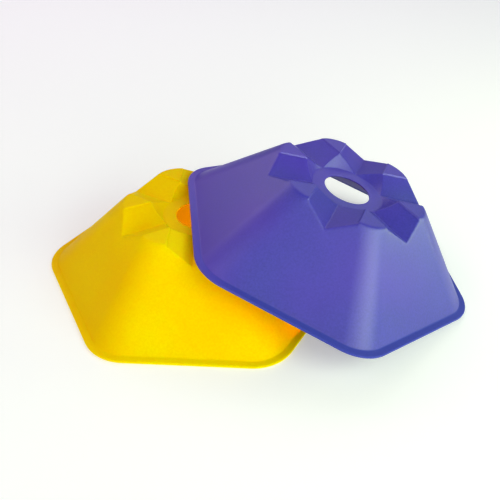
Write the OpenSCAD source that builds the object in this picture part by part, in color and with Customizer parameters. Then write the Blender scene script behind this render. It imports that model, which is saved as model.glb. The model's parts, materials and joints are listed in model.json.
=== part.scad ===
// Two hexagonal marker cones, one standing flat and one leaning on its crown.
// Each cone is one thin moulding: a rim flange, six flat sides and a crown
// that three crossed grooves cut into six lobes round a pole hole.

/* [Rim] */
// Distance across two flats of the rim
rim_across = 190; // [170:1:215]
// Radius of the rim's corners
rim_corner_r = 29; // [20:1:40]
// Width of the flat flange round the rim
flange_w = 4; // [2:0.5:7]

/* [Crown] */
// Height of the cone
cone_h = 52.6; // [46:0.2:62]
// Distance across two flats of the flat top
crown_across = 93.6; // [88:0.2:102]
// Radius of the top's corners
crown_corner_r = 18; // [8:1:24]
// Width of each groove where it meets the top
groove_w = 32.7; // [29:0.1:36]
// Depth of the grooves below the top
groove_depth = 8.7; // [6:0.1:11]

/* [Hole] */
// Diameter of the pole hole
hole_d = 31.2; // [22:0.2:38]
// Diameter of the flat ring round the hole
ring_d = 49; // [42:0.5:54]

/* [Wall] */
// Thickness of the moulding, square to its faces
wall = 1.7; // [1.2:0.1:2.4]

/* [Leaning cone] */
// Where the middle of the raised edge lies across the groove
edge_x = -4.9; // [-8:0.1:-1]
// Where the middle of the raised edge lies along the groove
edge_y = -13.4; // [-20:0.1:-5]
// Turn of the leaning cone about its own axis
own_turn = -21.2; // [-27:0.1:-15]
// Direction in which the leaning cone slopes down
slope_dir = -2.2; // [-8:0.1:0]
// Height of the leaning cone over the standing one where they meet
seat_gap = 0.4; // [0.3:0.05:0.8]

/* [Hidden] */

sides = 6;
corner_step = 360 / sides;
half_step = corner_step / 2;
arc_steps = 8;
round_fn = 96;
overrun = 2;

rim_ap = rim_across / 2;
foot_ap = rim_ap - flange_w;
foot_corner_r = rim_corner_r - flange_w;
crown_ap = crown_across / 2;
ring_r = ring_d / 2;
ring_h = cone_h - groove_depth;
// Neighbouring grooves meet at the top in the tip of a lobe, this far from the axis
tip_r = groove_w / 2 / sin(half_step);

// How far the sides run in for each unit of height, and how their corners change
side_run = (foot_ap - crown_ap) / (cone_h - wall);
corner_run = (foot_corner_r - crown_corner_r) / (cone_h - wall);
// Rise of the groove walls and of the dish from the ring to the lobes' tips
groove_rise = groove_depth / (groove_w / 2);
dish_rise = groove_depth / (tip_r - ring_r);
// A skin one wall further in lies this far sideways, or this far down
side_inset = wall * sqrt(1 + pow(side_run, 2));
groove_drop = wall * sqrt(1 + pow(groove_rise, 2));
dish_drop = wall * sqrt(1 + pow(dish_rise, 2));

function side_ap(z, inset = 0) = foot_ap - side_run * (z - wall) - inset;
function side_corner_r(z, inset = 0) = foot_corner_r - corner_run * (z - wall) - inset;

// Outline of a hexagon with apothem ap and corner radius r, with corners on X
function corner_centre(k, ap, r) = (ap - r) / cos(half_step) * [cos(k * corner_step), sin(k * corner_step)];
function outline(ap, r) = [
    for (k = [0:sides - 1], j = [0:arc_steps])
        let (a = (k - 0.5 + j / arc_steps) * corner_step)
        corner_centre(k, ap, r) + r * [cos(a), sin(a)]
];
function raised(points, z) = [for (p = points) [p[0], p[1], z]];

// Solid between two outlines, with flat sides and ruled corners
module frustum(z_low, z_high, inset = 0) {
    low = outline(side_ap(z_low, inset), side_corner_r(z_low, inset));
    high = outline(side_ap(z_high, inset), side_corner_r(z_high, inset));
    n = len(low);
    polyhedron(
        points = concat(raised(low, z_low), raised(high, z_high)),
        faces = concat(
            [[for (i = [0:n - 1]) i]],
            [[for (i = [0:n - 1]) 2 * n - 1 - i]],
            [for (i = [0:n - 1]) [i, i + n, (i + 1) % n + n, (i + 1) % n]]
        )
    );
}

// Flat plate with true round corners
module flange() {
    linear_extrude(wall) {
        polygon(outline(rim_ap, rim_corner_r));
        for (k = [0:sides - 1])
            translate(corner_centre(k, rim_ap, rim_corner_r)) circle(r = rim_corner_r, $fn = round_fn);
    }
}

// Everything above the three crossed grooves, whose floors lie at z_floor
module groove_cuts(z_floor) {
    reach = rim_ap;
    for (k = [0:sides / 2 - 1])
        rotate([0, 0, k * corner_step])
        rotate([90, 0, 0])
        linear_extrude(rim_across, center = true)
        polygon([[0, z_floor], [reach, z_floor + groove_rise * reach], [-reach, z_floor + groove_rise * reach]]);
}

// Everything above the ring and the dish that rises from it
module dish_cut(z_floor, flat_r) {
    reach = rim_ap;
    rotate_extrude($fn = round_fn)
    polygon([
        [0, z_floor], [flat_r, z_floor],
        [reach, z_floor + dish_rise * (reach - flat_r)], [0, z_floor + dish_rise * (reach - flat_r)]
    ]);
}

module outer_skin() {
    difference() {
        frustum(0, cone_h);
        groove_cuts(ring_h);
        dish_cut(ring_h, ring_r);
    }
}

module cavity() {
    difference() {
        frustum(-overrun, cone_h - wall, side_inset);
        groove_cuts(ring_h - groove_drop);
        dish_cut(ring_h - wall, ring_r + (dish_drop - wall) / dish_rise);
    }
}

module cone_moulding() {
    difference() {
        union() {
            flange();
            outer_skin();
        }
        cavity();
        translate([0, 0, ring_h - wall - overrun])
        cylinder(d = hole_d, h = wall + 2 * overrun, $fn = round_fn);
    }
}

// Height of the standing cone's outer skin under the point p
function groove_height(p) = min([
    for (k = [0:sides / 2 - 1])
        ring_h + groove_rise * abs(p[0] * cos(k * corner_step) + p[1] * sin(k * corner_step))
]);
function dish_height(p) = ring_h + dish_rise * max(0, norm(p) - ring_r);
function side_height(p) = min([
    for (k = [0:sides - 1])
        let (a = (k + 0.5) * corner_step)
        wall + (foot_ap - p[0] * cos(a) - p[1] * sin(a)) / side_run
]);
function skin_height(p) = min(cone_h, groove_height(p), dish_height(p), side_height(p));

// The leaning cone is turned, then tipped by lean, and its lowest rim corner meets the ground
seat_flat = 3;
seat_angle = (seat_flat + 0.5) * corner_step;
function turned(p, a) = [p[0] * cos(a) - p[1] * sin(a), p[0] * sin(a) + p[1] * cos(a), p[2]];
function tipped(p, lean) = [p[0] * cos(lean) + p[2] * sin(lean), p[1], p[2] * cos(lean) - p[0] * sin(lean)];
function leant(p, lean) = turned(tipped(turned(p, own_turn - slope_dir), lean), slope_dir);
low_reach = rim_corner_r + max([
    for (k = [0:sides - 1])
        (rim_ap - rim_corner_r) / cos(half_step) * cos(k * corner_step + own_turn - slope_dir)
]);
function place(lean) =
    let (m = leant([rim_ap * cos(seat_angle), rim_ap * sin(seat_angle), 0], lean))
    [edge_x - m[0], edge_y - m[1], low_reach * sin(lean)];

// Points of the leaning cone's underside along its seat, in shares of the seat's length, width and depth
edge_shares = [for (i = [-50:50]) i / 100];
flange_shares = [for (i = [0:6]) i / 6];
depth_shares = [for (i = [1:20]) i / 50];
function seat_point(ap, along, z) = [
    ap * cos(seat_angle) - along * sin(seat_angle), ap * sin(seat_angle) + along * cos(seat_angle), z
];
straight_edge = 2 * (rim_ap - rim_corner_r) * tan(half_step);
foot_width = rim_ap - side_ap(0, side_inset);
foot_points = [
    for (s = flange_shares, p = outline(rim_ap - s * foot_width, rim_corner_r)) [p[0], p[1], 0]
];
flange_points = [
    for (s = flange_shares, e = edge_shares)
        seat_point(rim_ap - s * foot_width, e * straight_edge, 0)
];
cavity_points = [
    for (s = depth_shares, e = edge_shares)
        let (z = s * cone_h)
        seat_point(side_ap(z, side_inset), e * straight_edge, z)
];
seat_points = concat(foot_points, flange_points, cavity_points);

function seat_clearance(lean) = min([
    for (p = seat_points)
        let (q = leant(p, lean) + place(lean))
        q[2] - skin_height([q[0], q[1]])
]);
max_lean = 30;
halvings = 14;
function settled(low, high, n) =
    n == 0 ? high :
    let (mid = (low + high) / 2)
    seat_clearance(mid) < seat_gap ? settled(mid, high, n - 1) : settled(low, mid, n - 1);

lean = settled(0, max_lean, halvings);
spot = place(lean);
lean_axis = leant([0, 0, 1], lean);

// How far the leaning cone's rim reaches in a level direction
function rim_reach(way) =
    let (u = turned(tipped(turned(way, -slope_dir), -lean), slope_dir - own_turn), level = [u[0], u[1]])
    spot * way + rim_corner_r * norm(level) + max(0, wall * u[2])
    + max([for (k = [0:sides - 1]) corner_centre(k, rim_ap, rim_corner_r) * level]);

// The pair stands on the ground with the middle of its bounding box over the origin
standing_reach = (rim_ap - rim_corner_r) / cos(half_step) + rim_corner_r;
mid_x = (rim_reach([1, 0, 0]) - standing_reach) / 2;
mid_y = (rim_reach([0, 1, 0]) - rim_reach([0, -1, 0])) / 2;
middle = [mid_x, mid_y, 0];
hole_h = ring_h - wall / 2;

module yellow_cone() {
    echo(yellow_hole = [0, 0, hole_h] - middle);
    color([1, 0.85, 0]) translate(-middle) cone_moulding();
}

module blue_cone() {
    echo(blue_hole = spot + hole_h * lean_axis - middle, blue_axis = lean_axis);
    color([0.31, 0.29, 0.68])
    translate(spot - middle)
    rotate([0, 0, slope_dir])
    rotate([0, lean, 0])
    rotate([0, 0, own_turn - slope_dir])
    cone_moulding();
}

yellow_cone();
blue_cone();
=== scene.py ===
import json
import math

import bpy
from mathutils import Matrix, Vector


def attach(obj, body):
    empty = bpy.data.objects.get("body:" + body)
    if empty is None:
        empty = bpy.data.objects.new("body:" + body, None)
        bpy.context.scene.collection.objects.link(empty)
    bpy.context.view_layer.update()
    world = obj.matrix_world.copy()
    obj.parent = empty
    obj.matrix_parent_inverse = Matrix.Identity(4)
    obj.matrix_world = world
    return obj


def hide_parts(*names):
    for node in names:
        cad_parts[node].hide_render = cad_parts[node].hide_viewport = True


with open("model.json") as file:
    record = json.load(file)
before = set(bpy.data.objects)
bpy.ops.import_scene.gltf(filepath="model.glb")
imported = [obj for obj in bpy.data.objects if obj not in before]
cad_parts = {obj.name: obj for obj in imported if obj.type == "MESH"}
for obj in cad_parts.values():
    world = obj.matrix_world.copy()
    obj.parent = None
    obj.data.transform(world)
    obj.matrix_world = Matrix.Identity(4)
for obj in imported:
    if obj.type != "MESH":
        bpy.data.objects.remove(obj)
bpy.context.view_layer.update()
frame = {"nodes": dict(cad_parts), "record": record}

record = frame["record"]
scene = bpy.context.scene
mm = 0.001


# Node building. A wire is one output socket that can be used in sums
class Wire:
    def __init__(self, tree, socket):
        self.tree, self.socket = tree, socket

    def sum(self, operation, *terms):
        return addNode(self.tree, "ShaderNodeMath", {"operation": operation}, dict(enumerate(terms)))

    def __add__(self, other): return self.sum("ADD", self, other)
    def __radd__(self, other): return self.sum("ADD", other, self)
    def __sub__(self, other): return self.sum("SUBTRACT", self, other)
    def __rsub__(self, other): return self.sum("SUBTRACT", other, self)
    def __mul__(self, other): return self.sum("MULTIPLY", self, other)
    def __rmul__(self, other): return self.sum("MULTIPLY", other, self)
    def __truediv__(self, other): return self.sum("DIVIDE", self, other)
    def __rtruediv__(self, other): return self.sum("DIVIDE", other, self)
    def __pow__(self, other): return self.sum("POWER", self, other)
    def __abs__(self): return self.sum("ABSOLUTE", self)
    def root(self): return self.sum("SQRT", self)
    def atLeast(self, other): return self.sum("MAXIMUM", self, other)
    def atMost(self, other): return self.sum("MINIMUM", self, other)
    def over(self, other): return self.sum("GREATER_THAN", self, other)
    def sine(self): return self.sum("SINE", self)
    def cosine(self): return self.sum("COSINE", self)
    def angle(self): return self.sum("ARCTANGENT", self)
    def sign(self): return self.sum("SIGN", self)
    def floor(self): return self.sum("FLOOR", self)
    def share(self): return self.atLeast(0.0).atMost(1.0)
    def blendMin(self, other, reach): return self.sum("SMOOTH_MIN", self, other, reach)
    def blendMax(self, other, reach): return self.sum("SMOOTH_MAX", self, other, reach)


def addNode(tree, kind, settings=None, values=None, out=0):
    # settings are the node's own, values go by socket name or number, out is the output that is wanted
    node = tree.nodes.new(kind)
    for name, value in (settings or {}).items():
        setattr(node, name, value)
    for name, value in (values or {}).items():
        for item in value if isinstance(value, list) else [value]:
            if isinstance(item, Wire):
                tree.links.new(item.socket, node.inputs[name])
            else:
                node.inputs[name].default_value = item
    return Wire(tree, node.outputs[out])


def blend(tree, share, low, high):
    # one colour or the other, by a share from 0 to 1
    return addNode(tree, "ShaderNodeMix", {"data_type": "RGBA"}, {0: share, 6: low, 7: high}, 2)


# One cone, with all its sizes in millimetres, as on the moulder's drawing
coneSizes = {
    "Rim Across": 190.0, "Rim Corner": 29.0, "Flange": 4.4,
    "Height": 52.6, "Crown Across": 93.6, "Crown Corner": 18.0,
    "Groove Width": 32.7, "Groove Depth": 8.7,
    "Hole": 31.2, "Ring": 49.0, "Wall": 1.7,
    "Pad Height": 1.0, "Pad Bevel": 0.3, "Groove Fall": 1.0,
    "Groove Floor Round": 0.3, "Dish Round": 0.35, "Ring Round": 0.8, "Pad Round": 0.16, "Pad Foot": 0.12,
    "Notch Round": 1.4, "Lobe Round": 2.6, "Foot Round": 0.35, "Edge Round": 0.6, "Lip": 0.45,
}
coneMesh = {
    "columns": 40,               # from a groove line to the middle of a lobe
    "cornerColumns": 12,         # as many of them spread over the lobe's corner
    "cornerBunch": 1.4,          # over 1 they lie closer together towards its middle
    "easing": 0.8,               # 0 spaces rows and columns evenly, 1 draws them to the ends of each stretch
    "mergeWithin": 0.000002,     # metres
    "outerRows": {"hole": 3, "ring": 4, "dish": 10, "crown": 24, "side": 28, "flange": 6, "rim": 3},
    "innerRows": {"hole": 4, "ring": 3, "dish": 8, "crown": 16, "side": 16, "flange": 4, "rim": 3},
}
lobeCount = 6
halfLobe = math.pi / lobeCount   # the angle from a groove's line to the middle of a lobe
cosHalf, sinHalf, tanHalf = math.cos(halfLobe), math.sin(halfLobe), math.tan(halfLobe)


def ease(t):
    # closer steps at both ends of a stretch
    easing = coneMesh["easing"]
    return t * (1 - easing) + (0.5 - (t * math.pi).cosine() * 0.5) * easing


def mixed(low, high, share):
    return low + (high - low) * share


def rowCount(rows):
    return sum(rows.values()) + 3            # with a first row and the two edges' middles


def conePoint(size, tree, rows, depth):
    # Where each vertex of a flat grid goes on a skin that lies depth below the outside
    wall, pad, bevel = size["Wall"], size["Pad Height"], size["Pad Bevel"]
    inside = depth.sign()                    # 0 on the outer skin, 1 on the inner one
    edge = size["Edge Round"]
    lip = mixed(size["Lip"], wall - size["Lip"], inside)    # the hole's edge thins to a narrow lip
    lipEdge = mixed(size["Lip"] * 0.8, lip, inside)
    footAp = size["Rim Across"] / 2 - size["Flange"]
    footCorner = size["Rim Corner"] - size["Flange"]
    rise = size["Height"] - wall
    sideRun = (footAp - size["Crown Across"] / 2) / rise
    cornerRun = (footCorner - size["Crown Corner"]) / rise
    ringH = size["Height"] - size["Groove Depth"]
    grooveRise = (size["Groove Depth"] - pad) / (size["Groove Width"] / 2 - bevel)
    dishRise = (size["Groove Depth"] - pad) / (size["Groove Width"] / (2 * sinHalf) - bevel - size["Ring"] / 2)

    sideInset = depth * (sideRun * sideRun + 1).root()
    topZ = size["Height"] - depth
    ringZ = ringH - depth
    grooveZ = ringH - depth * (grooveRise * grooveRise + 1).root()
    dishFrom = size["Ring"] / 2 + depth * ((dishRise * dishRise + 1).root() - 1) / dishRise
    lowAp = footAp - sideInset               # the sides' apothem and corner at the flange's top
    lowCorner = footCorner - sideInset
    floorZ = wall - depth

    # A vertex's number gives its row, outwards from the hole, and its column, from one groove to the next
    total = rowCount(rows)
    index = addNode(tree, "GeometryNodeInputIndex")
    column = (index / total + 0.0001).floor()    # a hair over, so that no column is rounded down
    row = index - column * total
    n, m = coneMesh["columns"], coneMesh["cornerColumns"]
    offset = column - n
    k = abs(offset)
    way = offset.over(0.0) * 2 - 1
    wallShare = ease(((n - k) / (n - m)).share())
    cornerShare = ((m - k) / m).share() ** coneMesh["cornerBunch"]
    inCorner = (m - k).over(0.0)

    def onCircle(radius):
        turn = (1 - wallShare) * halfLobe
        return radius * turn.cosine(), radius * turn.sine()

    def outline(ap, corner, floorAp, start):
        a = mixed(floorAp, ap, wallShare)
        w = start * wallShare
        wallX, wallY = a * cosHalf + w * sinHalf, a * sinHalf - w * cosHalf
        turn = (halfLobe - (start / ap).angle()) * (1 - cornerShare)
        centre = (ap - corner) / cosHalf
        reach = centre * turn.cosine() + (corner * corner - (centre * turn.sine()) ** 2.0).root()
        return mixed(wallX, reach * turn.cosine(), inCorner), mixed(wallY, reach * turn.sine(), inCorner)

    # The rows end at these outlines, from the hole's edge to the rim's
    fromGroove = wallShare * halfLobe
    dishEdge = (dishRise * dishFrom - (ringZ - grooveZ)) / (dishRise - grooveRise * fromGroove.sine())
    wallTop = (topZ - pad - grooveZ) / grooveRise
    halfGroove = wallTop + bevel
    crownAp = lowAp - sideRun * (topZ - wall)
    crownCorner = lowCorner - cornerRun * (topZ - wall)
    notchAp = lowAp - sideRun * (grooveZ - wall)
    baseAp = lowAp + sideRun * (wall - floorZ)
    baseCorner = lowCorner + cornerRun * (wall - floorZ)
    rimAp, rimCorner = size["Rim Across"] / 2, size["Rim Corner"]
    stations = [
        onCircle(size["Hole"] / 2),
        onCircle(size["Hole"] / 2 + lipEdge),
        onCircle(dishFrom),
        onCircle(dishEdge),
        outline(crownAp, crownCorner, notchAp, halfGroove),
        outline(baseAp, baseCorner, baseAp, (baseAp - baseCorner) * tanHalf),
        outline(rimAp - edge, rimCorner - edge, rimAp - edge, (rimAp - rimCorner) * tanHalf),
        outline(rimAp, rimCorner, rimAp, (rimAp - rimCorner) * tanHalf),
    ]
    x, y = stations[0]
    start = 1
    holeTurn = rimTurn = None
    for (name, count), (fromX, fromY), (toX, toY) in zip(rows.items(), stations, stations[1:]):
        t = ((row - start) / count).share()
        if name == "hole":
            holeTurn = t * (math.pi / 2)
            share = 1 - holeTurn.cosine()
        elif name == "rim":
            rimTurn = t * (math.pi / 2)
            share = rimTurn.sine()
        else:
            share = ease(t)
        x, y = x + (toX - fromX) * share, y + (toY - fromY) * share
        start += count

    # Height of the skin over that point: the lowest of groove, dish and side, each with its own rounding
    a = x * cosHalf + y * sinHalf
    w = x * sinHalf - y * cosHalf
    steep = pad / bevel
    floorDrop = size["Groove Fall"] * ((a - dishFrom) / (crownAp - dishFrom)).share()
    grooveFloor = grooveZ - floorDrop
    fromFloor = (w * w + size["Groove Floor Round"] ** 2.0).root()
    groove = grooveFloor + (topZ - pad - grooveFloor) / wallTop * fromFloor
    groove = groove.blendMax(topZ - pad + steep * (w - wallTop), size["Pad Foot"]).blendMin(topZ, size["Pad Round"])
    radius = (x * x + y * y).root()
    dish = ringZ + dishRise * (radius - dishFrom).blendMax(0.0, size["Ring Round"])
    dishTop = dishFrom + (topZ - pad - ringZ) / dishRise
    dish = dish.blendMax(topZ - pad + steep * (radius - dishTop), size["Pad Foot"]).blendMin(topZ, size["Pad Round"])
    flatH = (lowAp - a) / sideRun
    centre = (lowAp - lowCorner) / cosHalf
    centreRun = (sideRun - cornerRun) / cosHalf
    qa = centreRun * centreRun - cornerRun * cornerRun
    qb = 2 * (centreRun * (x - centre) + lowCorner * cornerRun)
    qc = (x - centre) ** 2.0 + y * y - lowCorner * lowCorner
    cornerH = ((qb * qb - 4 * qa * qc).root() - qb) / (2 * qa)
    pastFlat = w.over((lowAp - lowCorner - (sideRun - cornerRun) * flatH) * tanHalf)
    side = wall + mixed(flatH, cornerH, pastFlat)
    crownRound = mixed(size["Notch Round"], size["Lobe Round"], wallShare ** 4.0)
    z = groove.blendMin(dish, size["Dish Round"]).blendMin(side, crownRound).blendMax(floorZ, size["Foot Round"])

    # The hole's and the rim's edges turn over to the middle of the wall
    last = total - 1
    drop = lipEdge * (1 - holeTurn.sine()) + (lip - lipEdge) * (1 - row).share()
    drop = drop + edge * (1 - rimTurn.cosine()) + (wall / 2 - edge) * (row - (last - 1)).share()
    z = z + drop * (inside * 2 - 1)
    return addNode(tree, "ShaderNodeCombineXYZ", None, {0: x * mm, 1: y * way * mm, 2: z * mm})


def coneTree():
    tree = bpy.data.node_groups.new("marker cone", "GeometryNodeTree")
    tree.is_modifier = True
    panel = tree.interface
    for name in coneSizes:
        panel.new_socket(name=name, in_out="INPUT", socket_type="NodeSocketFloat")
    panel.new_socket(name="Lobes", in_out="INPUT", socket_type="NodeSocketInt")
    panel.new_socket(name="Plastic", in_out="INPUT", socket_type="NodeSocketMaterial")
    panel.new_socket(name="Cone", in_out="OUTPUT", socket_type="NodeSocketGeometry")
    inputs = tree.nodes.new("NodeGroupInput")
    size = {name: Wire(tree, inputs.outputs[name]) for name in coneSizes}
    skins = []
    for rows, depth in ((coneMesh["outerRows"], size["Wall"] * 0), (coneMesh["innerRows"], size["Wall"] * 1)):
        grid = addNode(tree, "GeometryNodeMeshGrid", None, {
            "Size X": 0.1, "Size Y": 0.1,
            "Vertices X": 2 * coneMesh["columns"] + 1, "Vertices Y": rowCount(rows)})
        skin = addNode(tree, "GeometryNodeSetPosition", None, {
            "Geometry": grid, "Position": conePoint(size, tree, rows, depth)})
        if not skins:
            skin = addNode(tree, "GeometryNodeFlipFaces", None, {"Mesh": skin})
        skins.append(skin)
    lobe = addNode(tree, "GeometryNodeJoinGeometry", None, {"Geometry": skins})
    lobes = Wire(tree, inputs.outputs["Lobes"])
    points = addNode(tree, "GeometryNodeMeshLine", None, {"Count": lobes, "Offset": (0.0, 0.0, 0.0)})
    turn = addNode(tree, "GeometryNodeInputIndex") * (2 * math.pi) / lobes
    ring = addNode(tree, "GeometryNodeInstanceOnPoints", None, {
        "Points": points, "Instance": lobe,
        "Rotation": addNode(tree, "ShaderNodeCombineXYZ", None, {2: turn})})
    whole = addNode(tree, "GeometryNodeRealizeInstances", None, {"Geometry": ring})
    whole = addNode(tree, "GeometryNodeMergeByDistance", None, {
        "Geometry": whole, "Distance": coneMesh["mergeWithin"]})
    whole = addNode(tree, "GeometryNodeStoreNamedAttribute", {"data_type": "FLOAT_VECTOR", "domain": "POINT"}, {
        "Geometry": whole, "Name": "mouldPlace", "Value": addNode(tree, "GeometryNodeInputPosition")})
    whole = addNode(tree, "GeometryNodeSetShadeSmooth", None, {"Geometry": whole})
    whole = addNode(tree, "GeometryNodeSetMaterial", None, {
        "Geometry": whole, "Material": Wire(tree, inputs.outputs["Plastic"])})
    out = tree.nodes.new("NodeGroupOutput")
    tree.links.new(whole.socket, out.inputs["Cone"])
    return tree


def makeCone(name, tree, plastic, place):
    blank = bpy.data.objects.new(name + "Blank", bpy.data.meshes.new(name + "Blank"))
    scene.collection.objects.link(blank)
    modifier = blank.modifiers.new("mould", "NODES")
    modifier.node_group = tree
    values = dict(coneSizes, Lobes=lobeCount, Plastic=plastic)
    for item in tree.interface.items_tree:
        if item.in_out == "INPUT":
            modifier[item.identifier] = values[item.name]
    graph = bpy.context.evaluated_depsgraph_get()
    mesh = bpy.data.meshes.new_from_object(blank.evaluated_get(graph), depsgraph=graph)
    bpy.data.objects.remove(blank)
    mesh.name = name
    mesh.transform(place)
    cone = bpy.data.objects.new(name, mesh)
    scene.collection.objects.link(cone)
    print(name, "has", len(mesh.polygons), "faces")
    return cone


# Where the cones are: the record's pole holes give each cone's axis
blueTurn = -21.2                 # degrees, the leaning cone's turn about its own axis


def conePlace(hole, ownTurn):
    mount = next(m for m in record["mounts"] if m["name"] == hole)
    axis = Vector(mount["axis"]).normalized()
    if axis.z < 0:
        axis = -axis
    lean = math.acos(min(1.0, axis.z))
    slope = math.atan2(axis.y, axis.x) if lean > 0.001 else 0.0
    holeHeight = (coneSizes["Height"] - coneSizes["Groove Depth"] - coneSizes["Wall"] / 2) * mm
    place = Vector(mount["pos_m"]) - axis * holeHeight
    spin = Matrix.Rotation(math.radians(ownTurn) - slope, 4, "Z")
    return Matrix.Translation(place) @ Matrix.Rotation(slope, 4, "Z") @ Matrix.Rotation(lean, 4, "Y") @ spin


# Matt, slightly translucent moulded plastic. The patterns are the same on both cones, with places in metres
plasticPattern = {
    "cloudScale": 35.0, "cloudTone": 1.0, "cloudRough": 0.12,
    "speckScale": 800.0, "speckTone": 2.6, "speckRough": 0.1,
    "driftScale": 13.0, "driftTone": 2.5, "driftStart": 0.35, "sideLightAcross": 8,
    "rimTop": 0.0018, "rimFade": 0.0005, "rimStart": 0.85, "rimLightAndShadeAcross": 9, "rimRough": 0.4,
    "grainScale": 1600.0,
}
# In this look the rim colour paints light onto the flange band
yellowLook = {
    "low": (0.96, 0.69, 0.0, 1.0), "high": (1.0, 0.76, 0.0, 1.0),
    # drift is a random tone plus painted shade that turns the side towards -X deeper orange
    "driftAndSideLight": (0.97, 0.50, 0.0, 1.0), "driftAndSideLightShare": 0.6, "rim": (0.97, 0.74, 0.0, 1.0), "rimLightAndShadeShare": 0.7,
    "glow": 0.75, "glowReach": (1.0, 0.55, 0.05), "glowDepth": 3.7,
    "roughness": 0.5, "gloss": 0.04, "glossTint": (1.0, 0.8, 0.1, 1.0), "grain": 0.04,
}
# In this look the rim colour paints shade onto the flange band
blueLook = {
    "low": (0.020, 0.023, 0.33, 1.0), "high": (0.035, 0.035, 0.43, 1.0),
    # drift is a random tone plus painted warm light that turns the side towards -X purple
    "driftAndSideLight": (0.068, 0.012, 0.47, 1.0), "driftAndSideLightShare": 0.8, "rim": (0.010, 0.026, 0.36, 1.0), "rimLightAndShadeShare": 1.0,
    "glow": 0.3, "glowReach": (1.0, 0.5, 0.8), "glowDepth": 2.0,
    "roughness": 0.42, "gloss": 1.0, "glossTint": (1.0, 1.0, 1.0, 1.0), "grain": 0.05,
}


def plasticMaterial(name, look):
    material = bpy.data.materials.new(name)
    material.use_nodes = True
    tree = material.node_tree
    tree.nodes.clear()
    place = addNode(tree, "ShaderNodeTexCoord", None, None, "Object")
    mould = addNode(tree, "ShaderNodeAttribute", {"attribute_name": "mouldPlace"}, None, "Vector")
    use = plasticPattern
    cloud = addNode(tree, "ShaderNodeTexNoise", None, {
        "Vector": place, "Scale": use["cloudScale"], "Detail": 4.0, "Roughness": 0.6})
    speck = addNode(tree, "ShaderNodeTexNoise", None, {"Vector": place, "Scale": use["speckScale"], "Detail": 2.0})
    tone = ((cloud - 0.5) * use["cloudTone"] + (speck - 0.5) * use["speckTone"] + 0.5).share()
    colour = blend(tree, tone, look["low"], look["high"])
    # The pigment drifts at random over the moulding, with painted light and shade tinting the side towards -X, and
    # the rim's flange band gets painted light and shade
    across = addNode(tree, "ShaderNodeSeparateXYZ", None, {"Vector": mould}, 0)
    height = addNode(tree, "ShaderNodeSeparateXYZ", None, {"Vector": mould}, 2)
    driftAndSideLight = addNode(tree, "ShaderNodeTexNoise", None, {"Vector": mould, "Scale": use["driftScale"], "Detail": 1.0})
    driftAndSideLight = ((driftAndSideLight - 0.5) * use["driftTone"] + use["driftStart"] - across * use["sideLightAcross"]).share()
    colour = blend(tree, driftAndSideLight * look["driftAndSideLightShare"], colour, look["driftAndSideLight"])
    # painted light and shade on the flange band at the bottom of the mould, fading out towards -X
    rim = (1 - (height - use["rimTop"]) / use["rimFade"]).share()
    rim = rim * (across * use["rimLightAndShadeAcross"] + use["rimStart"]).share() * look["rimLightAndShadeShare"]
    colour = blend(tree, rim, colour, look["rim"])
    roughness = look["roughness"] + (cloud - 0.5) * use["cloudRough"] + (speck - 0.5) * use["speckRough"]
    roughness = roughness + rim * use["rimRough"]
    grain = addNode(tree, "ShaderNodeTexNoise", None, {"Vector": place, "Scale": use["grainScale"], "Detail": 3.0})
    bump = addNode(tree, "ShaderNodeBump", None, {"Strength": 1.0, "Distance": look["grain"] * mm, "Height": grain})
    shader = addNode(tree, "ShaderNodeBsdfPrincipled", None, {
        "Base Color": colour, "Roughness": roughness, "Normal": bump,
        "Subsurface Weight": look["glow"], "Subsurface Radius": look["glowReach"],
        "Subsurface Scale": look["glowDepth"] * mm,
        "IOR": 1.5, "Specular IOR Level": look["gloss"], "Specular Tint": look["glossTint"]})
    output = tree.nodes.new("ShaderNodeOutputMaterial")
    tree.links.new(shader.socket, output.inputs["Surface"])
    return material


mould = coneTree()
print("mould made")
yellowPlastic = plasticMaterial("yellow plastic", yellowLook)
bluePlastic = plasticMaterial("blue plastic", blueLook)
print("plastics made")
yellowCone = makeCone("yellowMarkerCone", mould, yellowPlastic, conePlace("yellow_pole_hole", 0.0))
blueCone = makeCone("blueMarkerCone", mould, bluePlastic, conePlace("blue_pole_hole", blueTurn))
print("cones made")

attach(yellowCone, "yellow")
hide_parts("yellow_cone")
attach(blueCone, "blue")
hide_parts("blue_cone")
for name, node in frame["nodes"].items():     # the hidden solids get the same plastic
    node.data.materials.clear()
    node.data.materials.append(yellowPlastic if name == "yellow_cone" else bluePlastic)

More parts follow.
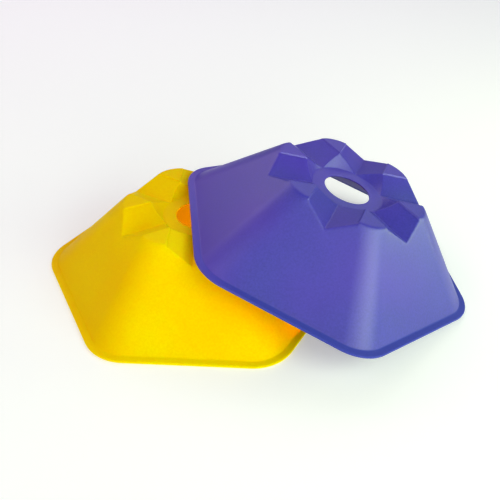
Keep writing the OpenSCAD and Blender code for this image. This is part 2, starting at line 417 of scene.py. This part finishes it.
# Floor, lamps and camera
studio = {
    "worldLight": 0.13,
    "floorTone": (0.87, 0.90, 0.84, 1.0), "floorGlow": 0.26, "floorHalf": 3.0, "floorDrop": 0.0002,
    "white": (1.0, 1.0, 1.0, 1.0),
    "underYellow": (0.7, 0.36, 0.0, 1.0), "yellowSpot": (-0.0388, -0.0012, 0.0), "yellowReach": 0.088,
    "yellowFade": 0.006,
    "warmGlow": (19.0, 5.5, 0.0, 1.0),
    "warmSpots": (               # place, reach, strength
        ((0.022, -0.062, 0.0), 0.043, 1.0), ((0.0, -0.02, 0.0), 0.042, 0.35), ((0.008, 0.026, 0.0), 0.04, 0.4),
    ),
    "lampsAway": 1.3, "lampsAim": (0.0, 0.0, 0.03),
    "lamps": {                   # degrees round from +X, degrees up, watts, metres across, colour
        "frontLow": (-78, 12, 4.6, 0.6, (0.95, 1.0, 0.92)),
        "frontTop": (-58, 56, 2.2, 0.8, (0.95, 1.03, 1.0)),
        "frontRight": (-38, 34, 3.9, 0.8, (0.93, 1.02, 0.9)),
        "rightHigh": (-20, 28, 2.7, 0.6, (0.85, 1.1, 0.85)),
        "rightLow": (-45, 12, 1.7, 0.5, (1.0, 1.0, 0.95)),
        "right": (-6, 18, 0.3, 0.6, (0.85, 1.05, 0.85)),
        "backRight": (56, 34, 1.6, 0.9, (0.88, 0.88, 1.0)),
        "back": (90, 45, 1.8, 0.8, (0.85, 0.75, 1.0)),
        "backLeft": (130, 38, 2.8, 0.8, (0.95, 0.76, 1.0)),
        "left": (172, 45, 0.8, 0.8, (0.97, 0.76, 1.0)),
        "leftFront": (-150, 42, 1.8, 0.9, (1.0, 0.86, 1.0)),
        "frontLeft": (-128, 40, 1.4, 1.0, (1.0, 0.95, 1.0)),
    },
    "nearRight": ((0.62, 0.05, 0.18), 0.62, 0.2, (0.9, 1.1, 0.5)),    # place, watts, metres across, colour
}
camera = {
    "position": (-0.00802, -0.3462, 0.2812),
    "right": (0.99897, 0.01855, 0.04129), "forward": (0.00765, 0.82992, -0.55782),
    "lens": 44.39, "sensor": 36.0, "shiftY": -0.08, "clipStart": 0.01, "clipEnd": 20.0,
}


def areaLight(name, place, power, size, colour):
    lamp = bpy.data.lights.new(name, "AREA")
    lamp.energy, lamp.size, lamp.shape, lamp.color = power, size, "DISK", colour
    holder = bpy.data.objects.new(name, lamp)
    scene.collection.objects.link(holder)
    holder.visible_camera = False
    holder.location = place
    holder.rotation_euler = (Vector(studio["lampsAim"]) - Vector(place)).to_track_quat("-Z", "Y").to_euler()


def makeFloor():
    half, down = studio["floorHalf"], -studio["floorDrop"]
    mesh = bpy.data.meshes.new("floor")
    corners = [(-half, -half, down), (half, -half, down), (half, half, down), (-half, half, down)]
    mesh.from_pydata(corners, [], [(0, 1, 2, 3)])
    floor = bpy.data.objects.new("floor", mesh)
    scene.collection.objects.link(floor)
    material = bpy.data.materials.new("floor")
    material.use_nodes = True
    tree = material.node_tree
    tree.nodes.clear()
    place = addNode(tree, "ShaderNodeTexCoord", None, None, "Object")

    def disc(centre, reach, fade):
        away = addNode(tree, "ShaderNodeVectorMath", {"operation": "DISTANCE"}, {0: place, 1: centre}, 1)
        return ((reach - away) / fade + 1).share()

    # Under the yellow cone the floor glows warm: a painted pool of light that stands in for the light that comes
    # through its wall, with brighter warm spots under the parts the blue cone shades
    warm = 0.0
    for spot, reach, strength in studio["warmSpots"]:
        warm = disc(spot, 0.0, reach) * strength + warm
    glow = blend(tree, warm.share(), studio["underYellow"], studio["warmGlow"])
    covered = disc(studio["yellowSpot"], studio["yellowReach"], studio["yellowFade"])
    glow = blend(tree, covered, studio["white"], glow)
    shader = addNode(tree, "ShaderNodeBsdfPrincipled", None, {
        "Base Color": studio["floorTone"], "Roughness": 0.9, "Specular IOR Level": 0.0,
        "Emission Color": glow, "Emission Strength": studio["floorGlow"]})
    output = tree.nodes.new("ShaderNodeOutputMaterial")
    tree.links.new(shader.socket, output.inputs["Surface"])
    mesh.materials.append(material)


makeFloor()
world = bpy.data.worlds.new("studio")
world.use_nodes = True
world.node_tree.nodes["Background"].inputs["Color"].default_value = studio["white"]
world.node_tree.nodes["Background"].inputs["Strength"].default_value = studio["worldLight"]
scene.world = world
for name, (around, lift, power, size, colour) in studio["lamps"].items():
    around, lift = math.radians(around), math.radians(lift)
    way = Vector((math.cos(around) * math.cos(lift), math.sin(around) * math.cos(lift), math.sin(lift)))
    areaLight(name, way * studio["lampsAway"], power, size, colour)
areaLight("nearRight", *studio["nearRight"])
scene.view_settings.view_transform = "Standard"

right, forward = Vector(camera["right"]).normalized(), Vector(camera["forward"]).normalized()
up = right.cross(forward).normalized()
right = forward.cross(up)
eye = bpy.data.cameras.new("camera")
eye.lens, eye.sensor_width, eye.shift_y = camera["lens"], camera["sensor"], camera["shiftY"]
eye.clip_start, eye.clip_end = camera["clipStart"], camera["clipEnd"]
viewer = bpy.data.objects.new("camera", eye)
scene.collection.objects.link(viewer)
viewer.matrix_world = Matrix.Translation(camera["position"]) @ Matrix((right, up, -forward)).transposed().to_4x4()
scene.camera = viewer
print("studio made")
